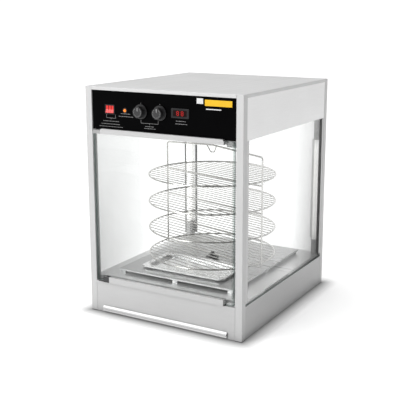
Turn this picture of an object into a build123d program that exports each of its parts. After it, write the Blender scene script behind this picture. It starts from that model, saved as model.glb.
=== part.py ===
from build123d import *
import os
from math import cos, radians, sin

os.makedirs("parts", exist_ok=True)

# Heated display cabinet with a rotating four-tier rack.
# Frame: +Z up, origin under the middle of the cabinet on the surface it stands on,
# front (controls and door) towards -Y, right-hand side towards +X. Millimetres.

# ---------------------------------------------------------------- driving sizes
width = 594.0
depth = 668.0
height = 785.0
post = 25.0
base_top = 112.0
header_bottom = 643.0
sheet = 1.2
gap = 0.3

half_w = width / 2
half_d = depth / 2
post_in_x = half_w - post
post_in_y = half_d - post
cover_skirt = 11.0
cover_sheet = 1.5
header_top = height - cover_skirt - gap
panel_x = post_in_x - 0.4
panel_y = post_in_y - 0.4
side_face = half_w - 0.5
rear_face = half_d - 0.5

# front openings and controls, measured from the middle of the fascia
fascia_front = half_d - 1.5
fascia_thick = 2.0
carrier_front = fascia_front - fascia_thick
fascia_half = post_in_x - 2.5
control_z = 712.0
switch_x = -198.0
switch_size = (34.0, 27.0)
lamp_x = -137.0
lamp_r = 6.5
knob_xs = (-75.5, -2.5)
knob_skirt_r = 24.0
knob_out = 20.0
shaft_r = 4.0
display_x = 73.5
display_z = 715.5
display_size = (60.0, 26.0)

# rack
rack_turn = 15.0
shelf_r = 229.0
ring_r = 2.5
wire_r = 1.5
wire_pitch = 24.2
rod_r = 3.0
hoop_r = 237.0
shelf_zs = (460.0, 363.5, 267.5, 172.0)
wire_drop = 2.5
arm_drop = 11.6
hoop_shoulder = 547.0
hoop_peak = 562.0

# interior
floor_top = 125.2
deck_top = 142.0
deck_half = (227.0, 262.0)
spindle_r = 6.0

# door
glass_front = half_d - 0.5
door_glass = 5.0
door_half = post_in_x - 4.0
pivot_x = -250.0
pivot_y = -(half_d - 8.0)
pin_r = 3.5
pin_hole_r = 3.58
rail_front = half_d + 10.0
rail_back = half_d - 12.0
rail_height = 17.0
door_swing_r = 20.8
door_low = base_top + 2.0
door_high = header_bottom - 0.8


def save(piece, name):
    """Label a finished piece and write its file."""
    piece.part.label = name
    export_step(piece.part, f"parts/{name}.step")


def block(low, high):
    """Rectangular piece between two corners, for flat strips and sheets."""
    with BuildPart() as piece:
        with Locations([tuple((a + b) / 2 for a, b in zip(low, high))]):
            Box(*(b - a for a, b in zip(low, high)))
    return piece


def notched_outline(half_x, half_y, notch_x, notch_y):
    """Rectangle whose corners stop short of the posts, as two crossing rectangles."""
    Rectangle(2 * half_x, 2 * notch_y)
    Rectangle(2 * notch_x, 2 * half_y)


# ---------------------------------------------------------------- frame
foot_plate = 2.5
post_wall = 2.0


def corner_post(x, y):
    """Square aluminium tube standing on its plug and carrying the cover's sheet."""
    with BuildPart() as tube:
        with BuildSketch(Plane.XY.offset(foot_plate)):
            with Locations((x, y)):
                RectangleRounded(post, post, 1.2)
                Rectangle(post - 2 * post_wall, post - 2 * post_wall, mode=Mode.SUBTRACT)
        extrude(amount=height - cover_sheet - foot_plate)
    return tube


post_x = half_w - post / 2
post_y = half_d - post / 2
save(corner_post(-post_x, -post_y), "post_front_left")
save(corner_post(post_x, -post_y), "post_front_right")
save(corner_post(-post_x, post_y), "post_rear_left")
save(corner_post(post_x, post_y), "post_rear_right")

plug_size = post - 2 * post_wall - 0.4
with BuildPart() as feet:
    with Locations((0, 0, foot_plate / 2)):
        with GridLocations(2 * post_x, 2 * post_y, 2, 2):
            Box(post - 1, post - 1, foot_plate)
    with Locations((0, 0, foot_plate + 6)):
        with GridLocations(2 * post_x, 2 * post_y, 2, 2):
            Box(plug_size, plug_size, 12)
save(feet, "post_plugs")

# ---------------------------------------------------------------- top cover
corner_cut = post + gap
with BuildPart() as cover:
    with BuildSketch(Plane.XY.offset(height - cover_skirt)):
        Rectangle(width, depth)
    extrude(amount=cover_skirt)
    fillet(cover.edges().filter_by(Axis.Z), 1.2)
    fillet(cover.faces().sort_by(Axis.Z)[-1].edges(), 1.0)
    with BuildSketch(Plane.XY.offset(height - cover_skirt)):
        Rectangle(width - 2 * cover_sheet, depth - 2 * cover_sheet)
    extrude(amount=cover_skirt - cover_sheet, mode=Mode.SUBTRACT)
    with BuildSketch(Plane.XY.offset(height - cover_skirt)):
        with GridLocations(width - corner_cut, depth - corner_cut, 2, 2):
            Rectangle(corner_cut, corner_cut)
    extrude(amount=cover_skirt - cover_sheet, mode=Mode.SUBTRACT)
save(cover, "top_cover")


# ---------------------------------------------------------------- header panels
def controls_cutter(front_plane_y, thick):
    """Solid of the openings for the switch, pilot lamp, knob shafts and thermometer."""
    plane = Plane(origin=(0, front_plane_y, 0), x_dir=(1, 0, 0), z_dir=(0, -1, 0))
    with BuildPart() as cutter:
        with BuildSketch(plane):
            with Locations((switch_x, control_z)):
                Rectangle(switch_size[0] + 2 * gap, switch_size[1] + 2 * gap)
            with Locations((lamp_x, control_z)):
                Circle(lamp_r + gap)
            with Locations(*[(x, control_z) for x in knob_xs]):
                Circle(shaft_r + 1)
            with Locations((display_x, display_z)):
                Rectangle(display_size[0] + 2 * gap, display_size[1] + 2 * gap)
        extrude(amount=-thick)
    return cutter.part


fascia_cutter = controls_cutter(-fascia_front, fascia_thick)
carrier_cutter = controls_cutter(-carrier_front, sheet)

with BuildPart() as fascia:
    with Locations((0, -(fascia_front - fascia_thick / 2), (header_bottom + header_top) / 2)):
        Box(2 * fascia_half, fascia_thick, header_top - header_bottom - 1)
    add(fascia_cutter, mode=Mode.SUBTRACT)
save(fascia, "fascia")

carrier_flange_back = post_in_y + 1
with BuildPart() as carrier:
    with Locations((0, -(carrier_front - sheet / 2), (header_bottom + header_top) / 2)):
        Box(2 * panel_x, sheet, header_top - header_bottom)
    with Locations((0, -(carrier_front + carrier_flange_back) / 2, header_bottom + sheet / 2)):
        Box(2 * panel_x, carrier_front - carrier_flange_back, sheet)
    add(carrier_cutter, mode=Mode.SUBTRACT)
    with Locations((pivot_x, pivot_y, header_bottom)):
        Cylinder(pin_hole_r, 4 * sheet, mode=Mode.SUBTRACT)
save(carrier, "fascia_carrier")


def side_panel(side, low_z, high_z, flange_z):
    """Side sheet between the posts with a folded edge facing the glass."""
    with BuildPart() as panel:
        with Locations((side * (side_face - sheet / 2), 0, (low_z + high_z) / 2)):
            Box(sheet, 2 * panel_y, high_z - low_z)
        with Locations((side * (side_face - 4.5), 0, flange_z)):
            Box(9, 2 * panel_y, sheet)
    return panel


header_flange_z = header_bottom + sheet / 2
save(side_panel(-1, header_bottom, header_top, header_flange_z), "header_side_left")
save(side_panel(1, header_bottom, header_top, header_flange_z), "header_side_right")

rear_screw_xs = 250.0
header_screw_zs = (655.0, 762.0)
base_screw_zs = (14.0, 99.0)
screw_r = 2.0
with BuildPart() as header_rear:
    with Locations((0, rear_face - sheet / 2, (header_bottom + header_top) / 2)):
        Box(2 * panel_x, sheet, header_top - header_bottom)
    rear_plane = Plane(origin=(0, rear_face, 0), x_dir=(-1, 0, 0), z_dir=(0, 1, 0))
    with BuildSketch(rear_plane):
        with Locations((0, (header_bottom + header_top) / 2)):
            with GridLocations(78, 16, 5, 5):
                SlotOverall(62, 5)
        with Locations(*[(s * rear_screw_xs, z) for s in (-1, 1) for z in header_screw_zs]):
            Circle(screw_r)
    extrude(amount=-sheet, mode=Mode.SUBTRACT)
save(header_rear, "header_rear")

ceiling_low = header_bottom + 2
with BuildPart() as ceiling:
    with BuildSketch(Plane.XY.offset(ceiling_low)):
        notched_outline(side_face - 2, carrier_front - 2, post_in_x - 0.5, post_in_y - 0.5)
    extrude(amount=sheet)
save(ceiling, "ceiling_panel")

# ---------------------------------------------------------------- base panels
tray_cut_half = 245.0
tray_cut_top = 20.0
panel_low = foot_plate
with BuildPart() as base_front:
    with Locations((0, -(rear_face - 0.75), (panel_low + base_top) / 2)):
        Box(2 * panel_x, 1.5, base_top - panel_low)
    with Locations((0, -(rear_face - 11), base_top - sheet / 2)):
        Box(2 * panel_x, 22, sheet)
    with Locations((0, -rear_face, tray_cut_top / 2)):
        Box(2 * tray_cut_half, 10, tray_cut_top, mode=Mode.SUBTRACT)
    with Locations((pivot_x, pivot_y, base_top)):
        Cylinder(pin_hole_r, 4 * sheet, mode=Mode.SUBTRACT)
save(base_front, "base_front")

base_flange_z = base_top - sheet / 2
save(side_panel(-1, panel_low, base_top, base_flange_z), "base_side_left")
save(side_panel(1, panel_low, base_top, base_flange_z), "base_side_right")

gland_x = 205.0
gland_z = 52.0
gland_r = 8.0
with BuildPart() as base_rear:
    with Locations((0, rear_face - sheet / 2, (panel_low + base_top) / 2)):
        Box(2 * panel_x, sheet, base_top - panel_low)
    with Locations((0, rear_face - 6, base_top - sheet / 2)):
        Box(2 * panel_x, 12, sheet)
    with BuildSketch(rear_plane):
        with Locations((60, 55)):
            with GridLocations(78, 14, 4, 4):
                SlotOverall(62, 5)
        with Locations((-gland_x, gland_z)):
            Circle(gland_r + gap)
        with Locations(*[(s * rear_screw_xs, z) for s in (-1, 1) for z in base_screw_zs]):
            Circle(screw_r)
    extrude(amount=-sheet, mode=Mode.SUBTRACT)
save(base_rear, "base_rear")

with BuildPart() as rear_screws:
    for zs in (header_screw_zs, base_screw_zs):
        for side in (-1, 1):
            for z in zs:
                head = Plane(origin=(side * rear_screw_xs, rear_face, z), z_dir=(0, 1, 0))
                with BuildSketch(head):
                    Circle(3.8)
                extrude(amount=2, taper=20)
                with BuildSketch(head):
                    Circle(screw_r - 0.1)
                extrude(amount=-6)
save(rear_screws, "rear_screws")

bottom_low = foot_plate + gap
with BuildPart() as base_bottom:
    with BuildSketch(Plane.XY.offset(bottom_low)):
        notched_outline(side_face - 2, rear_face - 2.5, post_in_x - 0.5, post_in_y - 0.5)
    extrude(amount=sheet)
save(base_bottom, "base_bottom")

# ---------------------------------------------------------------- cabin floor
floor_side = half_w - 7.5
floor_skirt_low = base_top + 1
floor_front = half_d - 23
vent_y = -64.0
vent_z = 118.5
vent_size = (186.0, 5.0)
terminal_x = 40.0
terminal_y = 190.0
element_r = 4.0
with BuildPart() as floor_pan:
    with BuildSketch(Plane.XY.offset(floor_skirt_low)):
        notched_outline(floor_side, floor_front, post_in_x - 0.5, post_in_y - 0.5)
    extrude(amount=floor_top - floor_skirt_low)
    with BuildSketch(Plane.XY.offset(floor_skirt_low)):
        notched_outline(
            floor_side - sheet, floor_front - sheet, post_in_x - 0.5 - sheet, post_in_y - 0.5 - sheet
        )
    extrude(amount=floor_top - floor_skirt_low - sheet, mode=Mode.SUBTRACT)
    with Locations((0, vent_y, vent_z)):
        Box(width, *vent_size, mode=Mode.SUBTRACT)
    with Locations((0, 0, floor_top)):
        Cylinder(spindle_r + 2, 4 * sheet, mode=Mode.SUBTRACT)
    with Locations((pivot_x, pivot_y, floor_top)):
        Cylinder(door_swing_r, 2 * post, mode=Mode.SUBTRACT)
    with BuildSketch(Plane.XY.offset(floor_top)):
        with Locations((0, terminal_y)):
            with GridLocations(2 * terminal_x + 12, 0, 2, 1):
                SlotOverall(26, 11)
    extrude(amount=-4 * sheet, mode=Mode.SUBTRACT)
save(floor_pan, "floor_pan")

# ---------------------------------------------------------------- glazing
glass_low = base_top + 1
glass_high = header_bottom - 0.5
side_glass_out = half_w - 2
side_glass_in = half_w - 6
channel_width = 13.0


def side_glass(side):
    """Fixed side pane between the front and rear posts."""
    xs = sorted((side * side_glass_in, side * side_glass_out))
    return block((xs[0], -(panel_y - 1.6), glass_low), (xs[1], panel_y - 1.6, glass_high))


save(side_glass(-1), "side_glass_left")
save(side_glass(1), "side_glass_right")

with BuildPart() as glazing_channels:
    for x_side in (-1, 1):
        for y_side in (-1, 1):
            with BuildSketch(Plane.XY.offset(floor_top + 0.5)):
                with Locations((x_side * (half_w - 4), y_side * (panel_y - channel_width / 2))):
                    Rectangle(6.6, channel_width)
                with Locations((x_side * (half_w - 4), y_side * (panel_y - channel_width / 2 - 1.4))):
                    Rectangle(4.2, channel_width, mode=Mode.SUBTRACT)
            extrude(amount=glass_high - floor_top - 1)
save(glazing_channels, "glazing_channels")

rear_glass_out = half_d - 5
rear_glass_in = half_d - 9
rear_glass = block(
    (-(panel_x - 0.4), rear_glass_in, glass_low), (panel_x - 0.4, rear_glass_out, glass_high)
)
save(rear_glass, "rear_glass")

bead_width = 17.0
bead_thick = 1.5
bead_leg = 11.6
bead_height = glass_high - floor_top - 1
bead_z = (floor_top + glass_high) / 2
with BuildPart() as rear_beads:
    for side in (-1, 1):
        with Locations((side * (panel_x - bead_width / 2), rear_glass_in - 0.95, bead_z)):
            Box(bead_width, bead_thick, bead_height)
        with Locations((side * (panel_x - bead_thick / 2), rear_glass_in - 6, bead_z)):
            Box(bead_thick, bead_leg, bead_height)
save(rear_beads, "rear_glass_beads")

# ---------------------------------------------------------------- deck over the heater
deck_rim = 6.0
with BuildPart() as deck:
    with BuildSketch(Plane.XY.offset(deck_top - deck_rim)):
        Rectangle(2 * deck_half[0], 2 * deck_half[1])
    extrude(amount=deck_rim)
    with BuildSketch(Plane.XY.offset(deck_top - deck_rim)):
        Rectangle(2 * (deck_half[0] - sheet), 2 * (deck_half[1] - sheet))
    extrude(amount=deck_rim - sheet, mode=Mode.SUBTRACT)
    with Locations((0, 0, deck_top)):
        Cylinder(spindle_r + 3, 4 * sheet, mode=Mode.SUBTRACT)
save(deck, "deck_plate")

leg_size = (18.0, 10.0)
deck_under = deck_top - sheet
with BuildPart() as deck_legs:
    with Locations((0, 0, (floor_top + deck_under) / 2)):
        with GridLocations(2 * (deck_half[0] - 14), 2 * (deck_half[1] - 9), 2, 2):
            Box(leg_size[0], leg_size[1], deck_under - floor_top)
        with GridLocations(2 * (deck_half[0] - 9), 0, 2, 1):
            Box(leg_size[1], leg_size[0], deck_under - floor_top)
        with GridLocations(0, 2 * (deck_half[1] - 9), 1, 2):
            Box(leg_size[0], leg_size[1], deck_under - floor_top)
save(deck_legs, "deck_legs")

element_z = 131.0
terminal_low = 96.0
element_x = 165.0
element_low_y = -200.0
with BuildPart() as element:
    with BuildLine() as element_path:
        FilletPolyline(
            (-terminal_x, terminal_y, terminal_low),
            (-terminal_x, terminal_y, element_z),
            (-element_x, terminal_y, element_z),
            (-element_x, element_low_y, element_z),
            (element_x, element_low_y, element_z),
            (element_x, terminal_y, element_z),
            (terminal_x, terminal_y, element_z),
            (terminal_x, terminal_y, terminal_low),
            radius=16,
        )
    with BuildSketch(Plane(origin=(-terminal_x, terminal_y, terminal_low), z_dir=(0, 0, 1))):
        Circle(element_r)
    sweep(path=element_path.line)
save(element, "heating_element")

# ---------------------------------------------------------------- rack drive
bracket_low = 100.0
boss_r = 10.0
spindle_low = 92.0
floor_under = floor_top - sheet
with BuildPart() as motor_bracket:
    with Locations((0, 0, bracket_low + 1)):
        Box(130, 90, 2)
        Cylinder(boss_r + gap, 4, mode=Mode.SUBTRACT)
    for side in (-1, 1):
        with Locations((side * 64, 0, (bracket_low + floor_under) / 2)):
            Box(2, 90, floor_under - bracket_low)
        with Locations((side * 74, 0, floor_under - 1)):
            Box(20, 90, 2)
save(motor_bracket, "motor_bracket")

with BuildPart() as gearmotor:
    with Locations((0, 10, bracket_low - 21)):
        Box(76, 84, 42)
    fillet(gearmotor.edges().filter_by(Axis.Z), 6)
    with Locations((0, 24, bracket_low - 58)):
        Cylinder(27, 32)
    with Locations((0, 0, bracket_low + 3)):
        Cylinder(boss_r, 6)
    with Locations((0, 0, bracket_low + 6)):
        Cylinder(spindle_r + 0.08, 2 * (bracket_low + 6 - spindle_low) + 1, mode=Mode.SUBTRACT)
save(gearmotor, "gearmotor")

hub_low = 146.0
hub_flange_top = 150.0
hub_stem_r = 8.5
hub_top = 165.5
with BuildPart() as hub:
    with BuildSketch(Plane.XZ):
        with BuildLine():
            Polyline(
                (0, spindle_low),
                (spindle_r, spindle_low),
                (spindle_r, hub_low),
                (24, hub_low),
                (24, hub_flange_top),
                (hub_stem_r, hub_flange_top + 3),
                (hub_stem_r, hub_top - 1.5),
                (hub_stem_r - 1.5, hub_top),
                (0, hub_top),
                close=True,
            )
        make_face()
    revolve(axis=Axis.Z)
save(hub, "drive_hub")

# ---------------------------------------------------------------- rotating rack
turn_cos = cos(radians(rack_turn))
turn_sin = sin(radians(rack_turn))
hoop_plane = Plane(origin=(0, 0, 0), x_dir=(turn_cos, -turn_sin, 0), z_dir=(-turn_sin, -turn_cos, 0))
hoop_base = shelf_zs[-1] - arm_drop
collar_r = 13.0
stirrup_r = 2.0

with BuildPart() as rack_hoop:
    with BuildLine(hoop_plane) as hoop_path:
        FilletPolyline(
            (-collar_r + 1, hoop_base),
            (-hoop_r, hoop_base),
            (-hoop_r, hoop_shoulder),
            (0, hoop_peak),
            (hoop_r, hoop_shoulder),
            (hoop_r, hoop_base),
            (collar_r - 1, hoop_base),
            radius=10,
        )
    with BuildSketch(Plane(origin=hoop_path.line @ 0, z_dir=hoop_path.line % 0)):
        Circle(rod_r)
    sweep(path=hoop_path.line)
    with BuildSketch(Plane.XY.offset(hoop_base - rod_r - 0.5)):
        Circle(collar_r)
        Circle(hub_stem_r + 0.3, mode=Mode.SUBTRACT)
    extrude(amount=2 * rod_r + 1)
    with BuildLine(hoop_plane) as stirrup_path:
        FilletPolyline(
            (-27, hoop_peak - 2.2),
            (-8, hoop_peak - 26),
            (10, hoop_peak - 24),
            (20, hoop_peak - 1.7),
            radius=3,
        )
    with BuildSketch(Plane(origin=stirrup_path.line @ 0, z_dir=stirrup_path.line % 0)):
        Circle(stirrup_r)
    sweep(path=stirrup_path.line)
save(rack_hoop, "rack_hoop")

arm_plane = Plane(origin=(0, 0, 0), x_dir=(turn_sin, turn_cos, 0), z_dir=(turn_cos, -turn_sin, 0))
with BuildPart() as rack_arms:
    with BuildSketch(arm_plane):
        with Locations(*[(0, z - arm_drop) for z in shelf_zs[:-1]]):
            Circle(rod_r)
    extrude(amount=hoop_r - rod_r, both=True)
save(rack_arms, "rack_arms")

wire_half_count = int((shelf_r - 2 * ring_r) // wire_pitch)
ring_centre_r = shelf_r - ring_r

with BuildPart() as grid:
    with BuildSketch(arm_plane):
        with Locations((0, -wire_drop)):
            with GridLocations(wire_pitch, 0, 2 * wire_half_count + 1, 1):
                Circle(wire_r)
    extrude(amount=shelf_r, both=True)
    Cylinder(ring_centre_r, 40, mode=Mode.INTERSECT)
    with BuildSketch(hoop_plane):
        with Locations((ring_centre_r, 0)):
            RegularPolygon(ring_r + 0.2, 8)
    revolve(axis=Axis.Z)

for tier, shelf_z in enumerate(shelf_zs, start=1):
    with BuildPart() as shelf:
        with Locations((0, 0, shelf_z)):
            add(grid.part)
    save(shelf, f"shelf_{tier}")

# ---------------------------------------------------------------- water pan
pan_size = (325.0, 176.0)
pan_centre = (0.0, -134.0)
pan_well = (289.0, 140.0)
pan_top = 153.0
pan_low = deck_top + 0.2
pan_sheet = 1.0
with BuildPart() as water_pan:
    with BuildSketch(Plane.XY.offset(pan_top - 5)):
        with Locations(pan_centre):
            RectangleRounded(*pan_size, 14)
    extrude(amount=5)
    with BuildSketch(Plane.XY.offset(pan_top - 5)):
        with Locations(pan_centre):
            RectangleRounded(pan_size[0] - 2 * pan_sheet, pan_size[1] - 2 * pan_sheet, 13)
    extrude(amount=5 - pan_sheet, mode=Mode.SUBTRACT)
    with BuildSketch(Plane.XY.offset(pan_low)):
        with Locations(pan_centre):
            RectangleRounded(*pan_well, 18)
    extrude(amount=pan_top - pan_low)
    with BuildSketch(Plane.XY.offset(pan_low + pan_sheet)):
        with Locations(pan_centre):
            RectangleRounded(pan_well[0] - 2 * pan_sheet, pan_well[1] - 2 * pan_sheet, 17)
    extrude(amount=pan_top - pan_low, mode=Mode.SUBTRACT)
save(water_pan, "water_pan")

# ---------------------------------------------------------------- crumb tray
tray_half = 238.0
tray_low = 6.6
tray_wall = 12.0
guide_top = 20.0
guide_length = 540.0
guide_y = -30.0
tray_front = half_d - 14
tray_back = 240.0
with BuildPart() as crumb_tray:
    with Locations((0, (tray_back - tray_front) / 2, tray_low + tray_wall / 2)):
        Box(2 * tray_half, tray_back + tray_front, tray_wall)
    with Locations((0, (tray_back - tray_front) / 2, tray_low + sheet + tray_wall / 2)):
        Box(2 * (tray_half - sheet), tray_back + tray_front - 2 * sheet, tray_wall, mode=Mode.SUBTRACT)
    with BuildSketch(Plane.YZ):
        with BuildLine():
            Polyline(
                (-tray_front + 0.4, tray_low + 11.5),
                (-half_d - 1.0, tray_low + 11.5),
                (-half_d - 2.2, tray_low + 17),
                (-half_d - 6, tray_low + 8),
                (-half_d - 1.5, tray_low + 5),
                (-half_d - 3.5, tray_low + 0.5),
                (-tray_front + 0.4, tray_low + 0.5),
            )
        trace(line_width=1.4)
    extrude(amount=tray_cut_half - 1, both=True)
save(crumb_tray, "crumb_tray")

guide_low = bottom_low + sheet
with BuildPart() as tray_guides:
    for side in (-1, 1):
        with Locations((side * (tray_half + 1.4), guide_y, (guide_low + guide_top) / 2)):
            Box(sheet, guide_length, guide_top - guide_low)
        with Locations((side * (tray_half - 5), guide_y, (guide_low + tray_low - gap) / 2)):
            Box(14, guide_length, tray_low - gap - guide_low)
save(tray_guides, "tray_guides")

# ---------------------------------------------------------------- cabin lights
tube_x = 276.0
tube_y = 298.0
tube_r = 8.5
tube_low = 180.0
tube_high = 562.0
holder_size = (19.0, 20.0)
with BuildPart() as lamp_tubes:
    with Locations((0, tube_y, (tube_low + tube_high) / 2)):
        with GridLocations(2 * tube_x, 0, 2, 1):
            Cylinder(tube_r, tube_high - tube_low)
save(lamp_tubes, "lamp_tubes")

with BuildPart() as lamp_holders:
    for low_z, high_z in ((floor_top, tube_low), (tube_high, ceiling_low)):
        with Locations((0, tube_y, (low_z + high_z) / 2)):
            with GridLocations(2 * tube_x, 0, 2, 1):
                Box(holder_size[0], holder_size[1], high_z - low_z)
    fillet(lamp_holders.edges().filter_by(Axis.Z), 3)
save(lamp_holders, "lamp_holders")

with BuildPart() as reflectors:
    for side in (-1, 1):
        with BuildSketch(Plane.XY.offset(tube_low + 1)):
            with BuildLine():
                Polyline(
                    (side * (tube_x + 9.8), tube_y - 6),
                    (side * (tube_x + 9.8), tube_y + 6),
                    (side * (tube_x + 6), tube_y + 9.9),
                    (side * (tube_x - 22), tube_y + 9.9),
                )
            trace(line_width=1.0)
        extrude(amount=tube_high - tube_low - 2)
save(reflectors, "lamp_reflectors")

# ---------------------------------------------------------------- controls
switch_flange = (39.0, 32.0)
switch_plane = Plane(origin=(switch_x, -fascia_front, control_z), x_dir=(1, 0, 0), z_dir=(0, -1, 0))
rocker_width = 9.8
rocker_half = 12.0
pocket_half = 13.0
rocker_pitch = 10.6
rocker_pivot_y = -(fascia_front - 2.5)
rocker_pin_r = 1.0
rocker_tilt = 10.0
switch_deep = 18.0
with BuildPart() as switch_bezel:
    with BuildSketch(switch_plane):
        RectangleRounded(*switch_flange, 2)
    extrude(amount=2)
    fillet(switch_bezel.faces().sort_by(Axis.Y)[0].edges(), 0.8)
    with BuildSketch(switch_plane):
        Rectangle(*switch_size)
    extrude(amount=-switch_deep)
    with BuildSketch(switch_plane.offset(2)):
        with GridLocations(rocker_pitch, 0, 3, 1):
            Rectangle(rocker_width + 0.4, 2 * pocket_half)
    extrude(amount=-switch_deep, mode=Mode.SUBTRACT)
    with Locations((switch_x, rocker_pivot_y, control_z)):
        Cylinder(rocker_pin_r, switch_size[0] - 1, rotation=(0, 90, 0))
save(switch_bezel, "switch_bezel")


def rocker(x):
    """Rocker with a shallow V face on a cross pin, resting with its upper end pressed in."""
    tilt = radians(rocker_tilt)
    plane = Plane(
        origin=(x, rocker_pivot_y, control_z), x_dir=(0, -cos(tilt), sin(tilt)), z_dir=(1, 0, 0)
    )
    with BuildPart() as key:
        with BuildSketch(plane):
            with BuildLine():
                Polyline(
                    (4.8, -rocker_half),
                    (3.4, 0),
                    (4.8, rocker_half),
                    (-1, rocker_half),
                    (-6, 4),
                    (-6, -4),
                    (-1, -rocker_half),
                    close=True,
                )
            make_face()
            Circle(rocker_pin_r + 0.1, mode=Mode.SUBTRACT)
        extrude(amount=rocker_width / 2, both=True)
    return key


for name, offset_x in (("rocker_left", -1), ("rocker_middle", 0), ("rocker_right", 1)):
    save(rocker(switch_x + offset_x * rocker_pitch), name)

lamp_plane = Plane(origin=(lamp_x, -fascia_front, control_z), z_dir=(0, -1, 0))
with BuildPart() as lamp_bezel:
    with BuildSketch(lamp_plane):
        Circle(9)
    extrude(amount=2.2)
    fillet(lamp_bezel.faces().sort_by(Axis.Y)[0].edges(), 1.2)
    with BuildSketch(lamp_plane):
        Circle(lamp_r)
    extrude(amount=-22)
    with BuildSketch(lamp_plane.offset(2.2)):
        Circle(5.6)
    extrude(amount=-8, mode=Mode.SUBTRACT)
save(lamp_bezel, "pilot_lamp_bezel")

with BuildPart() as lamp_lens:
    with BuildSketch(lamp_plane.offset(-5.5)):
        Circle(5.4)
    extrude(amount=10)
    fillet(lamp_lens.faces().sort_by(Axis.Y)[0].edges(), 3)
save(lamp_lens, "pilot_lamp_lens")


def knob(x):
    """Skirted control knob with a flat-sided grip and a stem through the fascia."""
    plane = Plane(origin=(x, -fascia_front - 0.6, control_z), x_dir=(1, 0, 0), z_dir=(0, -1, 0))
    out = half_d + knob_out - fascia_front - 0.6
    with BuildPart() as dial:
        with BuildSketch(plane):
            Circle(knob_skirt_r)
        extrude(amount=3.5)
        chamfer(dial.faces().sort_by(Axis.Y)[0].edges(), 1.2)
        with BuildSketch(plane):
            Circle(19.5)
        extrude(amount=out, taper=3)
        with BuildSketch(plane.offset(6)):
            Rectangle(50, 50)
            Rectangle(15, 50, mode=Mode.SUBTRACT)
            Circle(17, mode=Mode.SUBTRACT)
        extrude(amount=out, mode=Mode.SUBTRACT)
        with BuildSketch(plane.offset(out - 0.8)):
            with Locations((0, 9)):
                Rectangle(1.8, 12)
        extrude(amount=0.8, mode=Mode.SUBTRACT)
        with BuildSketch(plane):
            Circle(shaft_r)
        extrude(amount=-12)
    return dial


save(knob(knob_xs[0]), "knob_left")
save(knob(knob_xs[1]), "knob_right")

thermostat_front = carrier_front - sheet
with BuildPart() as thermostats:
    with Locations(*[(x, -(thermostat_front - 17), control_z) for x in knob_xs]):
        Box(44, 34, 44)
    for x in knob_xs:
        with BuildSketch(Plane(origin=(x, -thermostat_front, control_z), z_dir=(0, -1, 0))):
            Circle(shaft_r + 0.08)
        extrude(amount=-12, mode=Mode.SUBTRACT)
save(thermostats, "thermostats")

display_plane = Plane(origin=(display_x, -fascia_front, display_z), x_dir=(1, 0, 0), z_dir=(0, -1, 0))
window_size = (50.0, 20.0)
with BuildPart() as thermometer:
    with BuildSketch(display_plane):
        RectangleRounded(66, 31, 2.5)
    extrude(amount=3)
    fillet(thermometer.faces().sort_by(Axis.Y)[0].edges(), 1)
    with BuildSketch(display_plane):
        Rectangle(*display_size)
    extrude(amount=-48)
    with BuildSketch(display_plane.offset(3)):
        Rectangle(*window_size)
    extrude(amount=-2, mode=Mode.SUBTRACT)
save(thermometer, "thermometer_case")

with BuildPart() as window:
    with BuildSketch(display_plane.offset(1)):
        Rectangle(window_size[0] - 0.4, window_size[1] - 0.4)
    extrude(amount=1.4)
save(window, "display_window")

# ---------------------------------------------------------------- door
with BuildPart() as door_pane:
    with Locations((0, -(glass_front - door_glass / 2), (door_low + door_high) / 2)):
        Box(2 * door_half, door_glass, door_high - door_low - 4.4)
    fillet(door_pane.edges().filter_by(Axis.Y), 3)
save(door_pane, "door_glass")

slot_front = glass_front + 0.05
slot_back = glass_front - door_glass - 0.05
rail_end = 234.0
rail_upstand = 5.0
lower_rail_left = -212.0
lower_rail_height = 20.0


def rail_profile(inner_z, outer_z):
    """Clamp section around the glass edge: inner_z is the side facing the pane."""
    web_z = outer_z - (2 if outer_z > inner_z else -2)
    Polygon(
        (-rail_front, inner_z),
        (-slot_front, inner_z),
        (-slot_front, web_z),
        (-slot_back, web_z),
        (-slot_back, inner_z),
        (-rail_back, inner_z),
        (-rail_back, outer_z),
        (-rail_front, outer_z),
        align=None,
    )


with BuildPart() as upper_rail:
    with BuildSketch(Plane.YZ.offset(-rail_end)):
        rail_profile(door_high - rail_height + rail_upstand, door_high)
        with Locations(((-rail_front - half_d - 0.6) / 2, door_high + rail_upstand / 2 - 0.5)):
            Rectangle(rail_front - half_d - 0.6, rail_upstand + 1)
    extrude(amount=2 * rail_end)
    top_ends = upper_rail.edges().filter_by(Axis.Y).group_by(Axis.Z)[-1]
    chamfer(top_ends, 5)
save(upper_rail, "door_upper_rail")

with BuildPart() as lower_rail:
    with BuildSketch(Plane.YZ.offset(lower_rail_left)):
        rail_profile(door_low + lower_rail_height, door_low)
    extrude(amount=rail_end - lower_rail_left)
save(lower_rail, "door_lower_rail")


def pivot(name, left, right, inner_z, outer_z, pin_tip):
    """Corner clamp of the pane, with a strap under the glass that carries the hinge pin."""
    strap = 2.0 if inner_z > outer_z else -2.0
    with BuildPart() as clamp:
        with BuildSketch(Plane.YZ.offset(left)):
            rail_profile(inner_z, outer_z)
        extrude(amount=right - left)
        fillet(clamp.edges().filter_by(Axis.Z).group_by(Axis.Y)[0], 1.5)
        with BuildSketch(Plane.XY.offset(outer_z)):
            with Locations(((pivot_x - 8 + right) / 2, -(rail_front + rail_back) / 2)):
                Rectangle(right - pivot_x + 8, rail_front - rail_back - 4)
        extrude(amount=strap)
        with BuildSketch(Plane.XY.offset(outer_z)):
            with Locations((pivot_x, pivot_y)):
                Circle(pin_r)
        extrude(amount=pin_tip - outer_z)
    save(clamp, name)


upper_pivot_right = -rail_end - 0.2
lower_pivot_right = lower_rail_left - 0.2
pivot("door_upper_pivot", -262.0, upper_pivot_right, door_high - 12, door_high, header_bottom + 1.6)
pivot("door_lower_pivot", -236.0, lower_pivot_right, door_low + 18, door_low, base_top - 3)

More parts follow.
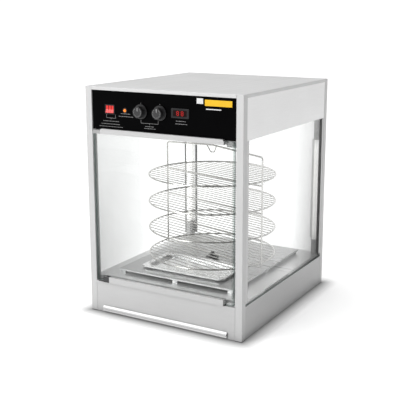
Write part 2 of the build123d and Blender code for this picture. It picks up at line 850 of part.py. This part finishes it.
stop_left = rail_end + 2
stop_right = post_in_x - 1
stop_front = glass_front - door_glass - 0.5
with BuildPart() as door_stops:
    for low_z, high_z, back in (
        (header_bottom - 20.5, header_bottom, stop_front - 8),
        (base_top, base_top + 9, stop_front - 14),
    ):
        with Locations(((stop_left + stop_right) / 2, -(stop_front + back) / 2, (low_z + high_z) / 2)):
            Box(stop_right - stop_left, stop_front - back, high_z - low_z)
    fillet(door_stops.edges().filter_by(Axis.X), 0.8)
save(door_stops, "door_stops")

# ---------------------------------------------------------------- mains inlet
with BuildPart() as gland:
    inlet_plane = Plane(origin=(gland_x, rear_face, gland_z), z_dir=(0, 1, 0))
    with BuildSketch(inlet_plane):
        RegularPolygon(11, 6)
    extrude(amount=7)
    with BuildSketch(inlet_plane.offset(7)):
        Circle(9.6)
    extrude(amount=half_d + knob_out - rear_face - 7, taper=10)
    with BuildSketch(inlet_plane):
        Circle(gland_r)
    extrude(amount=-12)
    with BuildSketch(inlet_plane.offset(30)):
        Circle(4)
    extrude(amount=-50, mode=Mode.SUBTRACT)
save(gland, "inlet_gland")
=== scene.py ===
import itertools
import math

import bmesh
import bpy
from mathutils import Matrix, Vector


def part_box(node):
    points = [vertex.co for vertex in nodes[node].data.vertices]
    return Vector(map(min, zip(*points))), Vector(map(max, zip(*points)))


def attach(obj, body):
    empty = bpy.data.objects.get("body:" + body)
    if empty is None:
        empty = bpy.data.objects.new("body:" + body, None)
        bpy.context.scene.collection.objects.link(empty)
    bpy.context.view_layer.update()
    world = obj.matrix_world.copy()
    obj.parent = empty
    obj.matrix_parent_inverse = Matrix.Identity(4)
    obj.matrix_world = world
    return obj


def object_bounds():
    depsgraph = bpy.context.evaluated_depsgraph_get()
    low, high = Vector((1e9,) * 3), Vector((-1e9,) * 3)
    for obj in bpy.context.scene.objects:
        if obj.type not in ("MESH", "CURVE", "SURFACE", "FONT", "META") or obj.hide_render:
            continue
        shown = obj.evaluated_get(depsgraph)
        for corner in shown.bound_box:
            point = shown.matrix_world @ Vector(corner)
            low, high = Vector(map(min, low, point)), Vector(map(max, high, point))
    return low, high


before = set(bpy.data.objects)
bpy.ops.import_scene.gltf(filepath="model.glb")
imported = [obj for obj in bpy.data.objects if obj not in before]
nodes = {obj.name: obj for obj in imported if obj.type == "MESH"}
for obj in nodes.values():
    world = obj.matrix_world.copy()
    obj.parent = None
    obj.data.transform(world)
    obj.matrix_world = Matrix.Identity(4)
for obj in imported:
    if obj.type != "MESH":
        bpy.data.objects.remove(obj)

cad_low, cad_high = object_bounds()
scene = bpy.context.scene
mm = 0.001
frame_half_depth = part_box("post_rear_left")[1].y


# ---------------------------------------------------------------- camera
camera_place = Vector((1.3926, -2.4585, 1.0352))
camera_turn = math.radians(29.842)
camera_down = math.radians(12.0)
camera_data = bpy.data.cameras.new("camera")
camera_data.sensor_width = 36.0
camera_data.lens = 69.72
camera_data.shift_y = -0.0673
camera = bpy.data.objects.new("camera", camera_data)
camera.location = camera_place
camera.rotation_euler = (math.pi / 2 - camera_down, 0, camera_turn)
scene.collection.objects.link(camera)
scene.camera = camera
scene.view_settings.view_transform = "Standard"


# ---------------------------------------------------------------- material tools
class Shader:
    """A material's node tree, with short calls for the nodes used here."""

    def __init__(self, name):
        self.material = bpy.data.materials.new(name)
        self.material.use_nodes = True
        self.tree = self.material.node_tree
        self.tree.nodes.clear()
        self.output = self.tree.nodes.new("ShaderNodeOutputMaterial")
        self.place = self.tree.nodes.new("ShaderNodeTexCoord").outputs["Object"]

    def node(self, kind, **inputs):
        made = self.tree.nodes.new(kind)
        for key, value in inputs.items():
            self.set(made.inputs[key.replace("_", " ")], value)
        return made

    def set(self, socket, value):
        if isinstance(value, bpy.types.NodeSocket):
            self.tree.links.new(value, socket)
        else:
            socket.default_value = value

    def noise(self, scale, detail=2.0, stretch=(1, 1, 1), roughness=0.5):
        """Noise over the object's own coordinates, stretched along an axis by a small factor."""
        mapping = self.node("ShaderNodeMapping", Vector=self.place)
        mapping.inputs["Scale"].default_value = stretch
        made = self.node("ShaderNodeTexNoise", Vector=mapping.outputs["Vector"])
        made.inputs["Scale"].default_value = scale
        made.inputs["Detail"].default_value = detail
        made.inputs["Roughness"].default_value = roughness
        return made.outputs["Fac"]

    def ramp(self, source, low, high, start=0.3, end=0.7):
        """Maps a 0..1 source to low..high between start and end."""
        made = self.node("ShaderNodeMapRange", Value=source)
        made.inputs["From Min"].default_value = start
        made.inputs["From Max"].default_value = end
        made.inputs["To Min"].default_value = low
        made.inputs["To Max"].default_value = high
        return made.outputs["Result"]

    def mix(self, factor, first, second):
        """Colour between two others by a factor."""
        made = self.tree.nodes.new("ShaderNodeMix")
        made.data_type = "RGBA"
        for socket, value in ((0, factor), (6, first), (7, second)):
            self.set(made.inputs[socket], value)
        return made.outputs[2]

    def math(self, operation, first, second=0.0):
        made = self.tree.nodes.new("ShaderNodeMath")
        made.operation = operation
        self.set(made.inputs[0], first)
        self.set(made.inputs[1], second)
        return made.outputs[0]

    def axis(self, letter):
        """One of the object's own coordinates, in metres."""
        return self.node("ShaderNodeSeparateXYZ", Vector=self.place).outputs[letter]

    def multiply(self, first, second):
        """Product of two colours."""
        made = self.tree.nodes.new("ShaderNodeMix")
        made.data_type = "RGBA"
        made.blend_type = "MULTIPLY"
        for socket, value in ((0, 1.0), (6, first), (7, second)):
            self.set(made.inputs[socket], value)
        return made.outputs[2]

    def bump(self, height, strength, distance):
        made = self.node("ShaderNodeBump", Height=height)
        made.inputs["Strength"].default_value = strength
        made.inputs["Distance"].default_value = distance
        return made.outputs["Normal"]

    def finish(self, shader):
        self.tree.links.new(shader, self.output.inputs["Surface"])
        return self.material


def grey(tone):
    """Neutral colour of one tone."""
    return (tone, tone, tone)


def shade(colour, factor):
    """The colour scaled by a factor, with alpha 1."""
    return (*[min(1.0, c * factor) for c in colour[:3]], 1.0)


def brushed_metal(name, colour, metallic, rough, stretch, grain=0.03, band=None):
    """Satin sheet metal: fine grain along one axis, soft clouds and wiped patches.

    band is (low z, high z, colour below, colour above): painted highlight and shade, the tone scaled up or
    down below and above a height in place of a lit rim or lip and a shaded face.
    """
    surface = Shader(name)
    lines = surface.noise(1400.0, 3.0, stretch)
    clouds = surface.noise(5.0, 3.0)
    streaks = surface.noise(60.0, 2.0, stretch)
    tone = surface.mix(surface.ramp(lines, 0, 1), shade(colour, 1 - grain), shade(colour, 1 + grain))
    tone = surface.mix(surface.ramp(clouds, 0.0, 0.25), tone, shade(colour, 0.93))
    # Painted highlight and shade: the band scales the tone up or down below and above a height.
    if band:
        low, high, below, above = band
        blend = surface.ramp(surface.axis("Z"), 0, 1, low, high)
        edge = surface.mix(blend, shade(below, 1), shade(above, 1))
        tone = surface.multiply(tone, edge)
    base = surface.ramp(streaks, rough - 0.05, rough + 0.07)
    roughness = surface.math("ADD", base, surface.ramp(clouds, -0.03, 0.05))
    shader = surface.node("ShaderNodeBsdfPrincipled", Base_Color=tone, Roughness=roughness)
    shader.inputs["Metallic"].default_value = metallic
    surface.set(shader.inputs["Normal"], surface.bump(lines, 0.12, 0.0002))
    return surface.finish(shader.outputs[0])


def moulded(name, colour, rough, bump=0.1, scale=900.0, spec=0.5, glow=None, glow_power=0.0):
    """Moulded plastic, rubber or paint with a fine skin texture and slight unevenness."""
    surface = Shader(name)
    skin = surface.noise(scale, 2.0)
    clouds = surface.noise(14.0, 2.0)
    tone = surface.mix(surface.ramp(clouds, 0, 1), shade(colour, 0.9), shade(colour, 1.1))
    roughness = surface.ramp(clouds, rough - 0.05, rough + 0.06)
    shader = surface.node("ShaderNodeBsdfPrincipled", Base_Color=tone, Roughness=roughness)
    shader.inputs["Specular IOR Level"].default_value = spec
    if glow:
        shader.inputs["Emission Color"].default_value = (*glow, 1.0)
        shader.inputs["Emission Strength"].default_value = glow_power
    surface.set(shader.inputs["Normal"], surface.bump(skin, bump, 0.0002))
    return surface.finish(shader.outputs[0])


clear_glass = (0.995, 0.997, 0.996, 1.0)


def pane_glass(name, axis, mirror, painted_shade=None, rim=None):
    """Clear pane seen through its faces, with greenish ground edges. axis is its thickness.

    mirror scales its reflections. painted_shade is (near y, far y, strength): painted shade, a grey
    darkening of what shows through the pane that deepens towards near y and the floor. rim is (half
    width, band): the darker border that the ground edges give a pane, at both of its X ends.
    """
    surface = Shader(name)
    normal = surface.tree.nodes.new("ShaderNodeTexCoord").outputs["Normal"]
    split = surface.node("ShaderNodeSeparateXYZ", Vector=normal)
    across = surface.math("ABSOLUTE", split.outputs[axis])
    edge = surface.ramp(across, 1.0, 0.0, 0.6, 0.9)
    clear = surface.node("ShaderNodeBsdfTransparent")
    clear.inputs["Color"].default_value = clear_glass
    # Painted shade: the clear tint greys towards near y and the floor.
    if painted_shade:
        near, far, strength = painted_shade
        along = surface.ramp(surface.axis("Y"), 1.0, 0.0, near, far)
        low = surface.ramp(surface.axis("Z"), 1.0, 0.4, 0.15, 0.60)
        shade_amount = surface.math("MULTIPLY", surface.math("MULTIPLY", along, low), strength)
        cloudy = surface.math("MULTIPLY", shade_amount, surface.ramp(surface.noise(6.0, 3.0), 0.9, 1.0))
        tint = surface.mix(cloudy, clear_glass, (0.5, 0.5, 0.5, 1))
        surface.set(clear.inputs["Color"], tint)
    if rim:
        half_width, band = rim
        from_middle = surface.math("ABSOLUTE", surface.axis("X"))
        border = surface.ramp(from_middle, 0.0, 0.6, half_width - band, half_width)
        tint = surface.mix(border, (0.985, 0.99, 0.988, 1), (0.35, 0.42, 0.40, 1))
        surface.set(clear.inputs["Color"], tint)
    haze = surface.ramp(surface.noise(9.0, 4.0), 0.01, 0.045)
    gloss = surface.node("ShaderNodeBsdfGlossy", Roughness=haze)
    fresnel = surface.node("ShaderNodeFresnel")
    fresnel.inputs["IOR"].default_value = 1.45
    sheet_mix = surface.tree.nodes.new("ShaderNodeMixShader")
    surface.set(sheet_mix.inputs[0], surface.math("MULTIPLY", fresnel.outputs[0], mirror))
    surface.set(sheet_mix.inputs[1], clear.outputs[0])
    surface.set(sheet_mix.inputs[2], gloss.outputs[0])
    cut = surface.node("ShaderNodeBsdfPrincipled", Roughness=surface.ramp(surface.noise(400.0), 0.25, 0.4))
    cut.inputs["Base Color"].default_value = (0.30, 0.35, 0.34, 1.0)
    whole = surface.tree.nodes.new("ShaderNodeMixShader")
    surface.set(whole.inputs[0], edge)
    surface.set(whole.inputs[1], sheet_mix.outputs[0])
    surface.set(whole.inputs[2], cut.outputs[0])
    return surface.finish(whole.outputs[0])


def chrome(name, colour, rough):
    """Bright plated wire with faint dulling from handling."""
    surface = Shader(name)
    wear = surface.noise(45.0, 3.0)
    fine = surface.noise(700.0, 2.0)
    tone = surface.mix(surface.ramp(wear, 0, 1), shade(colour, 0.9), shade(colour, 1.05))
    shader = surface.node(
        "ShaderNodeBsdfPrincipled", Base_Color=tone, Roughness=surface.ramp(wear, rough, rough + 0.12)
    )
    shader.inputs["Metallic"].default_value = 1.0
    surface.set(shader.inputs["Normal"], surface.bump(fine, 0.05, 0.0001))
    return surface.finish(shader.outputs[0])


def lit_tube(name):
    """Opal lamp tube: an even glow, dimmer at the ends."""
    surface = Shader(name)
    low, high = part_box("lamp_tubes")
    height = surface.axis("Z")
    rise = surface.ramp(height, 0.55, 1.0, low.z, low.z + 0.03)
    fall = surface.ramp(height, 1.0, 0.55, high.z - 0.03, high.z)
    glow = surface.math("MULTIPLY", rise, fall)
    grain = surface.ramp(surface.noise(200.0), 0.97, 1.0)
    shader = surface.node("ShaderNodeBsdfPrincipled")
    shader.inputs["Base Color"].default_value = (0.92, 0.93, 0.93, 1.0)
    shader.inputs["Roughness"].default_value = 0.35
    shader.inputs["Emission Color"].default_value = (1.0, 0.99, 0.96, 1.0)
    surface.set(shader.inputs["Emission Strength"], surface.math("MULTIPLY", glow, grain))
    return surface.finish(shader.outputs[0])


# ---------------------------------------------------------------- materials
along_x = (0.012, 1, 1)
along_y = (1, 0.012, 1)
along_z = (1, 1, 0.012)
light_steel = grey(0.50)

looks = {
    "post": brushed_metal("anodised_post", grey(0.54), 0.35, 0.42, along_z),
    # Painted light: the glazing channels are a brighter copy of the post finish, lifting the shade on
    # their faces.
    "channel": brushed_metal("anodised_channel", grey(0.60), 0.2, 0.45, along_z),
    "cover": brushed_metal("steel_cover", grey(0.57), 0.35, 0.42, along_y),
    # Painted light: the right header side is the same steel painted brighter (0.84 against 0.52 on the
    # left) in place of light it lacks.
    "header_side": brushed_metal("steel_header_side", grey(0.84), 0.3, 0.42, along_y),
    "header_left": brushed_metal("steel_header_left", grey(0.52), 0.35, 0.42, along_y),
    "carrier": brushed_metal("steel_carrier", light_steel, 0.35, 0.42, along_x),
    "base_front": brushed_metal("steel_base_front", grey(0.52), 0.35, 0.45, along_x),
    "base_side": brushed_metal("steel_base_side", grey(0.50), 0.35, 0.45, along_y),
    "rear": brushed_metal("steel_rear", light_steel, 0.35, 0.45, along_x),
    "pivot": brushed_metal("anodised_pivot", grey(0.34), 0.4, 0.42, along_x),
    "floor": brushed_metal("steel_floor", grey(0.72), 0.55, 0.32, along_x),
    # Painted highlight and shade: below the top face the rim and legs are brightened (1.3) and the top is
    # darkened (0.62).
    "deck": brushed_metal(
        "steel_deck", grey(0.80), 0.6, 0.3, along_x, 0.03,
        (0.1405, 0.1412, grey(1.3), grey(0.62)),
    ),
    "pan": brushed_metal("steel_pan", grey(0.85), 0.8, 0.2, along_x),
    "reflector": brushed_metal("lamp_reflector", grey(0.88), 0.15, 0.35, along_z),
    "rail": brushed_metal("anodised_rail", grey(0.50), 0.45, 0.36, along_x),
    # Painted highlight and shade: the pull lip's top is brightened (1.2) and its lower part darkened
    # (0.55).
    "tray": brushed_metal(
        "steel_tray", grey(0.80), 0.4, 0.35, along_x, 0.02,
        (0.0180, 0.0195, grey(0.55), grey(1.2)),
    ),
    # Painted highlight and shade: the lower stops are brightened (1.4) and the upper ones darkened (0.5).
    "stop": brushed_metal(
        "anodised_stop", grey(0.62), 0.4, 0.36, along_x, 0.03,
        (0.3, 0.4, grey(1.4), grey(0.5)),
    ),
    "screw": brushed_metal("screw_steel", grey(0.6), 0.9, 0.3, along_x),
    "element": brushed_metal("element_sheath", (0.20, 0.18, 0.17), 0.8, 0.45, along_y, 0.1),
    "fascia": moulded("fascia_gloss", (0.001, 0.001, 0.0012), 0.3, 0.02, 300.0, 0.02),
    "rubber": moulded("rubber", (0.10, 0.10, 0.105), 0.7, 0.25),
    "black": moulded("control_black", (0.010, 0.010, 0.011), 0.4, 0.12, 900.0, 0.25),
    "knob": moulded("knob_black", (0.022, 0.022, 0.023), 0.35, 0.12, 900.0, 0.4),
    "dark": moulded("dark_paint", (0.03, 0.03, 0.032), 0.4, 0.1),
    "motor": moulded("motor_paint", (0.20, 0.21, 0.23), 0.45, 0.2),
    "holder": moulded("holder_plastic", grey(0.62), 0.4, 0.1),
    "red": moulded("rocker_red", (0.42, 0.008, 0.006), 0.25, 0.05, 900.0, 0.5, (1.0, 0.02, 0.01), 0.35),
    "amber": moulded("lens_amber", (0.9, 0.22, 0.01), 0.2, 0.05, 900.0, 0.5, (1.0, 0.25, 0.01), 0.35),
    "window": moulded("display_smoke", (0.010, 0.001, 0.001), 0.3, 0.02, 300.0, 0.1),
    "chrome": chrome("rack_chrome", (0.60, 0.59, 0.57), 0.14),
    "tube": lit_tube("lamp_opal"),
    # The side panes carry painted shade: grey darkening towards the front (left pane) or the rear (right
    # pane) and the floor.
    "glass_left": pane_glass("glass_left", 0, 0.06, (-0.31, 0.10, 0.72)),
    "glass_right": pane_glass("glass_right", 0, 0.3, (0.31, 0.05, 0.95)),
    "glass_rear": pane_glass("glass_rear", 1, 0.3),
    "glass_door": pane_glass("glass_door", 1, 0.3, rim=(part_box("door_glass")[1].x, 0.012)),
}

finish_of = {
    "post": ["post_front_left", "post_front_right", "post_rear_left", "post_rear_right"],
    "channel": ["glazing_channels"],
    "cover": ["top_cover"],
    "header_side": ["header_side_right"],
    "header_left": ["header_side_left"],
    "carrier": ["fascia_carrier", "ceiling_panel"],
    "base_front": ["base_front"],
    "base_side": ["base_side_left", "base_side_right"],
    "rear": ["header_rear", "base_rear", "base_bottom", "rear_glass_beads"],
    "floor": ["floor_pan", "tray_guides", "motor_bracket"],
    "deck": ["deck_plate", "deck_legs"],
    "pan": ["water_pan"],
    "reflector": ["lamp_reflectors"],
    "rail": ["door_upper_rail", "door_lower_rail"],
    "stop": ["door_stops"],
    "pivot": ["door_upper_pivot"],
    "tray": ["crumb_tray"],
    "screw": ["rear_screws"],
    "element": ["heating_element"],
    "fascia": ["fascia"],
    "rubber": ["post_plugs"],
    "black": [
        "switch_bezel", "thermostats", "thermometer_case", "inlet_gland",
        "pilot_lamp_bezel",
    ],
    "knob": ["knob_left", "knob_right"],
    "dark": ["door_lower_pivot", "drive_hub"],
    "motor": ["gearmotor"],
    "holder": ["lamp_holders"],
    "red": ["rocker_left", "rocker_middle", "rocker_right"],
    "amber": ["pilot_lamp_lens"],
    "window": ["display_window"],
    "chrome": ["rack_hoop", "rack_arms", "shelf_1", "shelf_2", "shelf_3", "shelf_4"],
    "tube": ["lamp_tubes"],
    "glass_left": ["side_glass_left"],
    "glass_right": ["side_glass_right"],
    "glass_rear": ["rear_glass"],
    "glass_door": ["door_glass"],
}
for look, names in finish_of.items():
    for name in names:
        materials = nodes[name].data.materials
        materials.clear()
        materials.append(looks[look])

# ---------------------------------------------------------------- printed marks and display
fascia_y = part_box("fascia")[0].y
ink_sunk = 0.02


def raised_ink(name, outlines, front_y, thick, look, body):
    """Thin ink just proud of a front face, from four-cornered outlines of (x, z) in metres."""
    shape = bmesh.new()
    for outline in outlines:
        corners = []
        for depth in (ink_sunk, -thick):
            for x, z in outline:
                corners.append(shape.verts.new((x, front_y + depth * mm, z)))
        shape.faces.new(corners[4:])
        for k in range(4):
            following = (k + 1) % 4
            shape.faces.new((corners[k], corners[following], corners[4 + following], corners[4 + k]))
    bmesh.ops.recalc_face_normals(shape, faces=shape.faces)
    mesh = bpy.data.meshes.new(name)
    shape.to_mesh(mesh)
    shape.free()
    mesh.materials.append(look)
    piece = bpy.data.objects.new(name, mesh)
    scene.collection.objects.link(piece)
    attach(piece, body)


def printed(name, rectangles, front_y, look, body, thick=0.15):
    """Raised ink from upright rectangles (x0, z0, x1, z1) in mm."""
    outlines = []
    for x0, z0, x1, z1 in rectangles:
        outlines.append([(x * mm, z * mm) for x, z in ((x0, z0), (x1, z0), (x1, z1), (x0, z1))])
    raised_ink(name, outlines, front_y, thick, look, body)


word_lengths = (5.0, 3.2, 7.4, 4.1, 6.0, 2.6)
word_gap = 1.6


def dashes(middle, z, length, height=1.7):
    """A row of short strokes that stands for a line of small print."""
    strokes = []
    x = middle - length / 2
    for stroke in itertools.cycle(word_lengths):
        if x + stroke > middle + length / 2:
            return strokes
        strokes.append((x, z - height / 2, x + stroke, z + height / 2))
        x += stroke + word_gap


def bracket(left, right, top, low, line=1.1):
    """Square bracket that opens upwards, with a small stroke under its middle."""
    middle = (left + right) / 2
    return [
        (left, low, left + line, top),
        (right - line, low, right, top),
        (left, low, right, low + line),
        (middle - line / 2, low - 4, middle + line / 2, low),
    ]


ink_white = moulded("ink_white", grey(0.22), 0.5, 0.05, 900.0, 0.3)
ink_bright = moulded("ink_bright", grey(0.75), 0.5, 0.05, 900.0, 0.3)
ink_yellow = moulded("ink_yellow", (0.85, 0.50, 0.01), 0.5, 0.05, 900.0, 0.3)
ink_red = moulded("segment_red", (0.45, 0.01, 0.01), 0.4, 0.02, 900.0, 0.2, (1.0, 0.02, 0.01), 0.12)

small_print = []
for z, length in ((673.5, 64), (664, 80), (655.4, 97)):
    small_print += dashes(-194, z, length)
for middle, z, length in (
    (-134, 701, 40), (-134, 692, 58), (-41, 665.6, 36), (-41, 659, 44), (78, 691, 42), (78, 682, 46),
):
    small_print += dashes(middle, z, length)
small_print += bracket(-213, -175.5, 696, 683.5) + bracket(-76, -9, 686, 675)
for knob in ("knob_left", "knob_right"):
    low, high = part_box(knob)
    middle = (low.x + high.x) / 2 / mm
    small_print.append((middle - 0.8, high.z / mm + 2.0, middle + 0.8, high.z / mm + 5.0))
printed("fascia_print", small_print, fascia_y, ink_white, "cabinet")
badge_square = (133, 750, 156, 767)
badge_line = (166, 733.5, 219, 736.5)
badge_strip = (162, 745, 257, 764)
printed(
    "badge_white", [badge_square, badge_line], fascia_y, ink_bright, "cabinet"
)
printed("badge_yellow", [badge_strip], fascia_y, ink_yellow, "cabinet")

window_low, window_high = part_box("display_window")
segments = []
digit_w = 9.0
digit_h = 15.0
bar = 1.9
digit_lefts = (60.5, 77.0)
for left in digit_lefts:
    bottom = (window_low.z + window_high.z) / 2 / mm - digit_h / 2
    for row in (0, 1, 2):
        z = bottom + row * (digit_h - bar) / 2
        segments.append((left + bar, z, left + digit_w - bar, z + bar))
    for column in (left, left + digit_w - bar):
        for z in (bottom + bar, bottom + digit_h / 2 + bar / 2):
            segments.append((column, z, column + bar, z + digit_h / 2 - 1.5 * bar))
printed("display_digits", segments, window_low.y, ink_red, "cabinet", 0.1)

ticks = 21
tick_start = -225.0
tick_step = 13.5
tick_outer = 15.4
long_tick = (12.0, 0.55)
short_tick = (13.4, 0.4)
pointer_half = 0.8
pointer_reach = (3.2, 14.8)
pointer_depth = 0.8


def knob_marks(knob):
    """Ring of long and short ticks on the cap of a knob, and its pointer line."""
    low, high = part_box(knob)
    middle_x = (low.x + high.x) / 2
    middle_z = (low.z + high.z) / 2
    outlines = []
    for tick in range(ticks):
        turn = math.radians(tick_start + tick * tick_step)
        out = Vector((math.cos(turn), math.sin(turn)))
        side = Vector((-out.y, out.x))
        inner, half = long_tick if tick % 2 == 0 else short_tick
        outline = []
        for reach, across in ((inner, -half), (tick_outer, -half), (tick_outer, half), (inner, half)):
            outline.append(Vector((middle_x, middle_z)) + out * reach * mm + side * across * mm)
        outlines.append(outline)
    raised_ink(knob + "_scale", outlines, low.y, 0.12, ink_white, knob)
    x = middle_x / mm
    z = middle_z / mm
    pointer = (x - pointer_half, z + pointer_reach[0], x + pointer_half, z + pointer_reach[1])
    printed(
        knob + "_pointer", [pointer], low.y + pointer_depth * mm, ink_bright, knob
    )


for knob in ("knob_left", "knob_right"):
    knob_marks(knob)

# ---------------------------------------------------------------- floor and light
sky_power = 1.10
dark_side = 0.05
floor_shader = Shader("studio_floor")
# Painted shadow: floor_shade darkens the floor's colour and its glow near the cabinet's footprint, a drawn
# contact shadow that fades out over about 6 cm.
outside = []
for letter, half in (("X", max(cad_high.x, -cad_low.x)), ("Y", frame_half_depth)):
    away = floor_shader.math("ABSOLUTE", floor_shader.axis(letter))
    outside.append(floor_shader.math("MAXIMUM", floor_shader.math("SUBTRACT", away, half)))
squares = [floor_shader.math("MULTIPLY", value, value) for value in outside]
distance = floor_shader.math("SQRT", floor_shader.math("ADD", *squares))
floor_shade = floor_shader.math("POWER", floor_shader.ramp(distance, 0.0, 1.0, -0.008, 0.06), 0.7)
floor_grain = floor_shader.ramp(floor_shader.noise(2.0), 0.9, 0.92)
floor_tone = floor_shader.mix(floor_shade, (0.03, 0.03, 0.03, 1), (0.9, 0.9, 0.9, 1))
floor_bsdf = floor_shader.node("ShaderNodeBsdfPrincipled", Base_Color=floor_tone)
floor_bsdf.inputs["Roughness"].default_value = 0.9
floor_bsdf.inputs["Emission Color"].default_value = (1, 1, 1, 1)
floor_shader.set(
    floor_bsdf.inputs["Emission Strength"],
    floor_shader.math("MULTIPLY", floor_shader.math("MULTIPLY", floor_shade, floor_grain), 0.45),
)
floor_mesh = bpy.data.meshes.new("studio_floor")
reach = 30.0
floor_mesh.from_pydata(
    [(-reach, -reach, 0), (reach, -reach, 0), (reach, reach, 0), (-reach, reach, 0)], [], [(0, 1, 2, 3)]
)
floor = bpy.data.objects.new("studio_floor", floor_mesh)
floor_mesh.materials.append(floor_shader.finish(floor_bsdf.outputs[0]))
scene.collection.objects.link(floor)

world = bpy.data.worlds.new("studio")
world.use_nodes = True
sky = world.node_tree
direction = sky.nodes.new("ShaderNodeTexCoord").outputs["Generated"]
toward = sky.nodes.new("ShaderNodeVectorMath")
toward.operation = "DOT_PRODUCT"
toward.inputs[1].default_value = (0.9, -0.44, 0.0)
sky.links.new(direction, toward.inputs[0])
dim = sky.nodes.new("ShaderNodeMapRange")
dim.interpolation_type = "SMOOTHSTEP"
for key, value in (("From Min", 0.0), ("From Max", 0.7), ("To Min", sky_power), ("To Max", dark_side)):
    dim.inputs[key].default_value = value
sky.links.new(toward.outputs["Value"], dim.inputs["Value"])
sky.links.new(dim.outputs["Result"], sky.nodes["Background"].inputs["Strength"])
sky.nodes["Background"].inputs["Color"].default_value = (1, 1, 1, 1)
scene.world = world


def area_light(name, place, target, size, power):
    data = bpy.data.lights.new(name, "AREA")
    data.shape = "RECTANGLE"
    data.size, data.size_y = size
    data.energy = power
    lamp = bpy.data.objects.new(name, data)
    lamp.location = place
    lamp.rotation_euler = (Vector(target) - Vector(place)).to_track_quat("-Z", "Y").to_euler()
    scene.collection.objects.link(lamp)


key_watts = 62
area_light("key", (-1.6, -3.0, 2.4), (0, 0, 0.4), (2.0, 2.0), key_watts)
